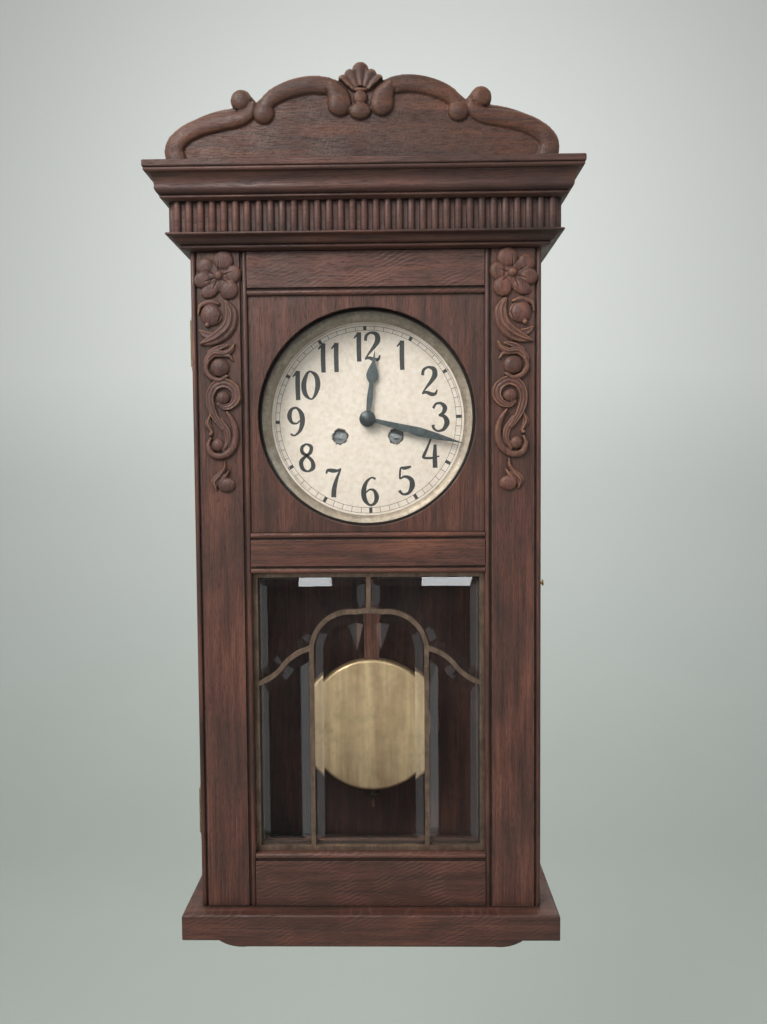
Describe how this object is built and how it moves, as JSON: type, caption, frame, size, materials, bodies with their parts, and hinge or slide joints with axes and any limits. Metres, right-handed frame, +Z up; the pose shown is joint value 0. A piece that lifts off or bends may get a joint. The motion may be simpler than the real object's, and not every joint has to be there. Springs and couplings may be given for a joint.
{
  "type": "pendulum wall clock",
  "caption": "Wall clock in a carved dark oak case, with a glazed and leaded door, round dial, hands, spring-driven movement and a swinging pendulum with a disc bob.",
  "frame": {"origin": "centre of the wall hanger's hole, on the wall plane at the back of the case", "axes": "+X to the right of someone facing the dial, +Y into the wall, +Z up"},
  "size_m": [0.3732, 0.1866, 0.7709],
  "materials": {
    "oak_case": "aged dark reddish-brown stained oak, satin",
    "oak_moulding": "aged dark stained oak moulding, satin",
    "oak_crest": "carved dark stained oak, satin with worn edges",
    "oak_door": "dark reddish-brown quarter-sawn oak, satin",
    "oak_dial_panel": "upright-grained dark oak veneer, satin",
    "oak_carving": "carved dark oak with worn lighter edges",
    "rod_wood": "polished reddish-brown hardwood",
    "clear_glass": "clear bevelled plate glass",
    "came_brass": "dull aged brass",
    "dial_paint": "aged cream, finely grained",
    "ring_brass": "aged olive brass",
    "hand_steel": "dark blued steel",
    "plate_brass": "brushed brass",
    "wheel_brass": "polished brass",
    "movement_steel": "polished steel",
    "bob_brass": "aged brass with fine specks",
    "hinge_brass": "worn brass",
    "gong_steel": "blued steel wire",
    "cast_iron": "dark bronzed iron",
    "hanger_steel": "dull steel"
  },
  "bodies": {
    "case": {"back_board": "oak_case", "left_side": "oak_case", "right_side": "oak_case", "base_board": "oak_case", "head_rail": "oak_case", "frieze": "oak_moulding", "lower_cornice_moulding": "oak_moulding", "cornice_crown": "oak_moulding", "top_board": "oak_case", "crest_board": "oak_crest", "hanger_plate": "hanger_steel", "case_screws": "hanger_steel", "seat_board": "oak_case", "gong_coil": "gong_steel", "gong_stand": "cast_iron", "case_hinge_leaves": "hinge_brass", "hinge_pins": "hinge_brass", "dial_plate": "dial_paint", "dial_ring": "ring_brass", "front_plate": "plate_brass", "back_plate": "plate_brass", "pillars": "plate_brass"},
    "door": {"left_stile": "oak_door", "right_stile": "oak_door", "top_rail": "oak_door", "middle_rail": "oak_door", "bottom_rail": "oak_door", "dial_panel": "oak_dial_panel", "dial_glass": "clear_glass", "dial_glass_ring": "oak_door", "came_lattice": "came_brass", "centre_pane": "clear_glass", "upper_panes": "clear_glass", "lower_panes": "clear_glass", "glazing_frame": "oak_door", "left_carving": "oak_carving", "right_carving": "oak_carving", "door_hinge_leaves": "hinge_brass", "catch_pin": "hinge_brass"},
    "door_hook": {"door_hook": "hinge_brass"},
    "minute_hand": {"minute_hand": "hand_steel", "cannon_pinion": "wheel_brass", "hand_nut": "hand_steel"},
    "minute_wheel": {"minute_wheel": "wheel_brass"},
    "hour_hand": {"hour_hand": "hand_steel", "hour_wheel": "wheel_brass"},
    "third_wheel": {"third_wheel": "wheel_brass"},
    "escape_wheel": {"escape_wheel": "wheel_brass"},
    "centre_wheel": {"centre_wheel": "wheel_brass"},
    "intermediate_wheel": {"intermediate_wheel": "wheel_brass"},
    "time_barrel": {"time_barrel": "wheel_brass"},
    "time_winding_arbor": {"time_winding_arbor": "movement_steel"},
    "strike_barrel": {"strike_barrel": "wheel_brass"},
    "strike_winding_arbor": {"strike_winding_arbor": "movement_steel"},
    "anchor": {"anchor": "movement_steel"},
    "pendulum": {"pendulum_rod": "rod_wood", "suspension_spring": "movement_steel"},
    "bob": {"pendulum_bob": "bob_brass"},
    "rating_nut": {"rating_nut": "bob_brass"},
    "hammer": {"hammer": "movement_steel"}
  },
  "joints": [
    {"name": "door_hinge", "type": "hinge", "parent": "case", "child": "door", "pos_m": [-0.1584, -0.13275, -0.33], "axis": [0, 0, -1], "range_deg": [0, 110]},
    {"name": "hook_swing", "type": "hinge", "parent": "case", "child": "door_hook", "pos_m": [0.156, -0.112, -0.33], "axis": [-1, 0, 0], "range_deg": [0, 90]},
    {"name": "minute_hand_turn", "type": "hinge", "parent": "case", "child": "minute_hand", "pos_m": [0, -0.095, -0.1795], "axis": [0, 1, 0], "continuous": true},
    {"name": "hour_hand_turn", "type": "hinge", "parent": "case", "child": "hour_hand", "pos_m": [0, -0.095, -0.1795], "axis": [0, 1, 0], "continuous": true},
    {"name": "minute_wheel_turn", "type": "hinge", "parent": "case", "child": "minute_wheel", "pos_m": [0, -0.095, -0.1651], "axis": [0, 1, 0], "continuous": true},
    {"name": "third_wheel_turn", "type": "hinge", "parent": "case", "child": "third_wheel", "pos_m": [0, -0.095, -0.15466], "axis": [0, 1, 0], "continuous": true},
    {"name": "escape_wheel_turn", "type": "hinge", "parent": "case", "child": "escape_wheel", "pos_m": [0, -0.095, -0.13022], "axis": [0, 1, 0], "continuous": true},
    {"name": "centre_wheel_turn", "type": "hinge", "parent": "case", "child": "centre_wheel", "pos_m": [0, -0.095, -0.1795], "axis": [0, 1, 0], "continuous": true},
    {"name": "intermediate_wheel_turn", "type": "hinge", "parent": "case", "child": "intermediate_wheel", "pos_m": [0.00159, -0.095, -0.20345], "axis": [0, 1, 0], "continuous": true},
    {"name": "time_barrel_turn", "type": "hinge", "parent": "case", "child": "time_barrel", "pos_m": [-0.026, -0.095, -0.1952], "axis": [0, 1, 0], "continuous": true},
    {"name": "time_winding", "type": "hinge", "parent": "time_barrel", "child": "time_winding_arbor", "pos_m": [-0.026, -0.095, -0.1952], "axis": [0, 1, 0], "continuous": true},
    {"name": "strike_barrel_turn", "type": "hinge", "parent": "case", "child": "strike_barrel", "pos_m": [0.026, -0.095, -0.1952], "axis": [0, 1, 0], "continuous": true},
    {"name": "strike_winding", "type": "hinge", "parent": "strike_barrel", "child": "strike_winding_arbor", "pos_m": [0.026, -0.095, -0.1952], "axis": [0, 1, 0], "continuous": true},
    {"name": "pendulum_swing", "type": "hinge", "parent": "case", "child": "pendulum", "pos_m": [0, -0.06, -0.10222], "axis": [0, 1, 0], "range_deg": [-4.5, 4.5]},
    {"name": "anchor_rock", "type": "hinge", "parent": "case", "child": "anchor", "pos_m": [0, -0.09, -0.10222], "axis": [0, 1, 0], "range_deg": [-4.5, 4.5]},
    {"name": "bob_adjust", "type": "slide", "parent": "pendulum", "child": "bob", "axis": [0, 0, 1], "range_m": [-0.005, 0.005]},
    {"name": "rating_nut_turn", "type": "hinge", "parent": "bob", "child": "rating_nut", "pos_m": [0, -0.06, -0.5583], "axis": [0, 0, -1], "range_deg": [-1800, 1800]},
    {"name": "hammer_lift", "type": "hinge", "parent": "case", "child": "hammer", "pos_m": [0.084, -0.026, -0.222], "axis": [0, 1, 0], "range_deg": [0, 18]}
  ],
  "couplings": [
    {"joint": "hour_hand_turn", "follows": "minute_hand_turn", "ratio": 0.083333},
    {"joint": "minute_wheel_turn", "follows": "minute_hand_turn", "ratio": -0.33333},
    {"joint": "escape_wheel_turn", "follows": "third_wheel_turn", "ratio": -12},
    {"joint": "centre_wheel_turn", "follows": "third_wheel_turn", "ratio": -0.125},
    {"joint": "intermediate_wheel_turn", "follows": "third_wheel_turn", "ratio": 0.013889},
    {"joint": "time_barrel_turn", "follows": "third_wheel_turn", "ratio": -0.0019841},
    {"joint": "anchor_rock", "follows": "pendulum_swing", "ratio": 1},
    {"joint": "rating_nut_turn", "follows": "bob_adjust", "rad_per_m": 6283.2}
  ]
}
